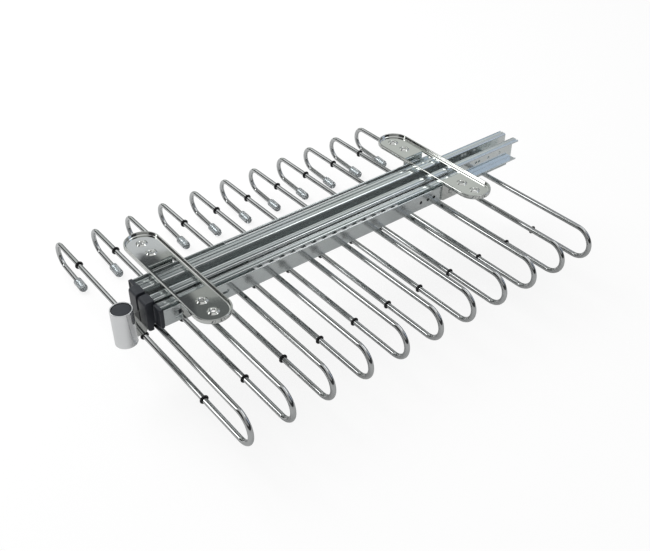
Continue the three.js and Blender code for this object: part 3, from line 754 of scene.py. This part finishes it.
# Hook caps
# Soft grey PVC caps, dip-moulded: a translucent sleeve with a domed end pushed over the wire,
# cloudy in patches of about 4 mm.
grey_pvc, tree, shader = new_finish("dip_moulded_grey_pvc")
place = add_node(tree, "ShaderNodeTexCoord").outputs["Object"]
cloudy = add_node(tree, "ShaderNodeTexNoise", {"Vector": place, "Scale": 260.0, "Detail": 3.0})
tint = {"Fac": cloudy.outputs["Fac"], "Color1": paint("#c6ccce"), "Color2": paint("#d6dadc")}
gloss = {"Value": cloudy.outputs["Fac"], "To Min": 0.08, "To Max": 0.14}
relief = {"Height": cloudy.outputs["Fac"], "Strength": 0.04, "Distance": 0.1 * MM}
shader.inputs["Transmission Weight"].default_value = 0.8
shader.inputs["IOR"].default_value = 1.52
dress(tree, shader, tint, gloss, relief)

wire_end = Vector((hook_x, 0, lower_leg - hook_radius))
wire_end += Vector((-math.sin(lean), 0, -math.cos(lean))) * hook_radius + free_way * free_leg
cap = turned_tool("cap", 0, 0, 0, [
    (15.3, 2.6), (0.5, 2.75), (0.05, 3.3), (0.0, 3.7), (0.35, 4.3), (1.0, 4.4), (12.77, 4.4),
    (13.9, 4.25), (15.0, 3.8), (15.95, 3.0), (16.6, 2.05), (16.95, 1.2), (17.1, 0.3),
])
cap.rotation_euler = (0, math.pi / 2 + lean, 0)
cap.location = (wire_end - free_way * 15) * MM
bpy.ops.object.transform_apply(location=True, rotation=True, scale=True)

hanger_count, hanger_pitch, middle_hanger, middle_hanger_y = 11, 40, 6, 20.5
for number in range(1, hanger_count + 1):
    along = middle_hanger_y + (number - middle_hanger) * hanger_pitch
    node = f"{number:02d}"
    wire = twin(hanger, f"hanger_wire_{node}", (0, along, 0))
    fit(wire, "carriage", "chromed_steel", wire_chrome, f"hanger_{node}", smooth=40)
    for place_name, across in (("hook", -150), ("middle", -17), ("bend", 83.5)):
        work = twin(rubber_ring, f"rubber_ring_{place_name}_{node}", (across, along, 0))
        fit(work, "carriage", "black_plastic", black_rubber, f"hanger_{node}", smooth=60)
    sleeve = twin(cap, f"cap_dipped_{node}", (0, along, 0))
    fit(sleeve, "carriage", "grey_pvc", grey_pvc, f"cap_{node}", smooth=50)
for work in (hanger, rubber_ring, cap):
    bpy.data.objects.remove(work)


# Studio floor
# A plain white sheet on which the rack rests. Camera and clear plastic see it lit up to white,
# mirrors see it dimmer, and it still keeps the rack's soft shadow.
def math_node(tree, operation, first, *second):
    values = dict(enumerate((first, *second)))
    return add_node(tree, "ShaderNodeMath", values, operation=operation).outputs[0]


def seen_directly(tree, ray):
    """1 for what the camera sees, straight, in mirrors or through clear plastic, else 0."""
    seen = math_node(tree, "MAXIMUM", ray["Is Camera Ray"], ray["Is Glossy Ray"])
    return math_node(tree, "MAXIMUM", seen, ray["Is Transmission Ray"])


clear_selection()
bpy.ops.mesh.primitive_plane_add(size=60, location=(0, 0, -100.8 * MM))
floor = bpy.context.object
floor.name = "studio_floor"
white_sheet, tree, shader = new_finish("matt_white_studio_sheet")
shader.inputs["Base Color"].default_value = paint("#f4f4f4")
shader.inputs["Roughness"].default_value = 0.9
shader.inputs["Specular IOR Level"].default_value = 0.1
ray = add_node(tree, "ShaderNodeLightPath").outputs
seen = seen_directly(tree, ray)
in_mirrors = ray["Is Glossy Ray"]
share = add_node(tree, "ShaderNodeMapRange", {"Value": in_mirrors, "To Min": 0.84, "To Max": 0.42})
share = math_node(tree, "MULTIPLY", seen, share.outputs[0])
level = add_node(tree, "ShaderNodeMapRange", {"Value": in_mirrors, "To Min": 1.0, "To Max": 0.05})
glow = {"Color": paint("#ffffff"), "Strength": level.outputs[0]}
glow = add_node(tree, "ShaderNodeEmission", glow).outputs[0]
both = add_node(tree, "ShaderNodeMixShader", {0: share, 1: shader.outputs[0], 2: glow})
tree.links.new(both.outputs[0], tree.nodes["Material Output"].inputs["Surface"])
floor.data.materials.append(white_sheet)
floor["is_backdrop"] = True

# Studio lights
# An even white world, one large softbox from the side of the hooks, and a ring of flags and
# reflectors that only mirrors see, as for any photograph of chrome.
world = bpy.data.worlds.new("studio")
world.use_nodes = True
bpy.context.scene.world = world
tree = world.node_tree
ray = add_node(tree, "ShaderNodeLightPath").outputs
seen = seen_directly(tree, ray)
level = add_node(tree, "ShaderNodeMapRange", {"Value": seen, "To Min": 0.62, "To Max": 1.0})
tree.links.new(level.outputs[0], tree.nodes["Background"].inputs["Strength"])
tree.nodes["Background"].inputs["Color"].default_value = paint("#ffffff")

clear_selection()
bpy.ops.mesh.primitive_uv_sphere_add(segments=48, ring_count=24, radius=4)
flags = bpy.context.object
flags.name = "studio_flags"
flags_finish, tree, shader = new_finish("studio_flags_and_reflectors")
tree.nodes.remove(shader)
place = add_node(tree, "ShaderNodeTexCoord").outputs["Object"]
way = add_node(tree, "ShaderNodeVectorMath", {0: place}, operation="NORMALIZE").outputs[0]
sides_of = add_node(tree, "ShaderNodeSeparateXYZ", {0: way}).outputs
lift = math_node(tree, "DEGREES", math_node(tree, "ARCSINE", sides_of["Z"]))
behind = add_node(tree, "ShaderNodeVectorMath", {0: way, 1: (-1, -1, 1)}, operation="MULTIPLY")
behind = add_node(tree, "ShaderNodeSeparateXYZ", {0: behind.outputs[0]}).outputs
turn = math_node(tree, "DEGREES", math_node(tree, "ARCTAN2", behind["Y"], behind["X"]))


def band(value, low, high, soft):
    """From 0 to 1 and back, where a value in degrees lies between two limits."""
    rise = {"Value": value, "From Min": low - soft, "From Max": low + soft}
    fall = {"Value": value, "From Min": high - soft, "From Max": high + soft}
    fall.update({"To Min": 1, "To Max": 0})
    rise = add_node(tree, "ShaderNodeMapRange", rise, interpolation_type="SMOOTHSTEP").outputs[0]
    fall = add_node(tree, "ShaderNodeMapRange", fall, interpolation_type="SMOOTHSTEP").outputs[0]
    return math_node(tree, "MULTIPLY", rise, fall)


def hang_panel(behind_it, shade, level, turns, heights, soft, slant=0):
    """Hangs a flag or reflector over what is behind it. Turns count from the side of the hooks
    towards the handle and heights from the horizon, both in degrees. Its edges are soft by some
    degrees, and with a slant its height changes with the turn."""
    height = math_node(tree, "MULTIPLY_ADD", turn, -slant, lift)
    turned = band(turn, *turns, soft)
    mask = math_node(tree, "MULTIPLY", turned, band(height, *heights, soft))
    colour = {0: paint(shade)[:3], "Scale": level}
    colour = add_node(tree, "ShaderNodeVectorMath", colour, operation="SCALE").outputs[0]
    return add_node(tree, "ShaderNodeMixRGB", {0: mask, 1: behind_it, 2: colour}).outputs[0]


# Each panel's shade, level, turns, heights, softness and slant; a later one hangs in front.
panels = (
    ("#fbfffb", 0.64, (-53, 60), (4, 47), 2),
    ("#eef4ff", 0.55, (-90, -55), (4, 50), 2),
    ("#ffffff", 0.1, (-64, -27), (-6, 23), 2),
    ("#ffffff", 1.1, (-16, 28), (37, 45), 1),
    ("#ffffff", 0.34, (-90, 60), (46, 60), 1),
    ("#ffffff", 0.72, (-200, 200), (60, 95), 3),
    ("#fdffff", 2.4, (-128, -64), (51, 63), 2),
    ("#fbfffb", 0.4, (-36, -19), (35, 39.4), 0.15),
    ("#f4faff", 0.09, (-36, -17), (7.6, 20), 0.6, -1.27),
    ("#f8ffff", 0.15, (-36, -24.8), (39.45, 44), 0.2),
    ("#f8fbff", 0.7, (-36, -16), (30, 35.35), 0.2),
    ("#ffffff", 0.03, (-2, 38), (50, 60), 1),
    ("#ffffff", 0.05, (60, 106), (-2, 60), 2),
    ("#ffffff", 0.03, (22, 75), (-6, 27), 1),
    ("#ffffff", 0.08, (29, 47), (72, 101), 1.5, -1.8),
    ("#ffffff", 3.8, (41, 53), (108, 130), 1, -1.8),
    ("#ffffff", 0.05, (120, 190), (-6, 20), 3),
    ("#ffffff", 0.05, (-190, -100), (-6, 20), 3),
    ("#eef4ff", 0.03, (-175, -137), (-6, 50), 2),
    ("#dde9ff", 0.95, (-134, -112), (12, 46), 2),
    ("#ffffff", 0.12, (-100, 28), (-8, 6), 2),
)
seen = add_node(tree, "ShaderNodeMixRGB", {0: 0, 1: paint("#a8a8a8")}).outputs[0]
for panel in panels:
    seen = hang_panel(seen, *panel)
glow = add_node(tree, "ShaderNodeEmission", {"Color": seen, "Strength": 1.0})
tree.links.new(glow.outputs[0], tree.nodes["Material Output"].inputs["Surface"])
flags.data.materials.append(flags_finish)
for ray_kind in ("camera", "diffuse", "shadow", "transmission"):
    setattr(flags, f"visible_{ray_kind}", False)
flags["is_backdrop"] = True

softbox = bpy.data.lights.new("softbox_left", "AREA")
softbox.shape = "RECTANGLE"
softbox.size, softbox.size_y = 1.1, 1.1
softbox.energy = 22
lamp = bpy.data.objects.new("softbox_left", softbox)
bpy.context.scene.collection.objects.link(lamp)
lamp.location = (-1.1, -0.35, 1.1)
lamp.rotation_mode = "QUATERNION"
lamp.rotation_quaternion = (-Vector(lamp.location)).to_track_quat("-Z", "Y")
lamp.visible_glossy = False

bpy.context.scene.view_settings.view_transform = "Standard"

low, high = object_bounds()
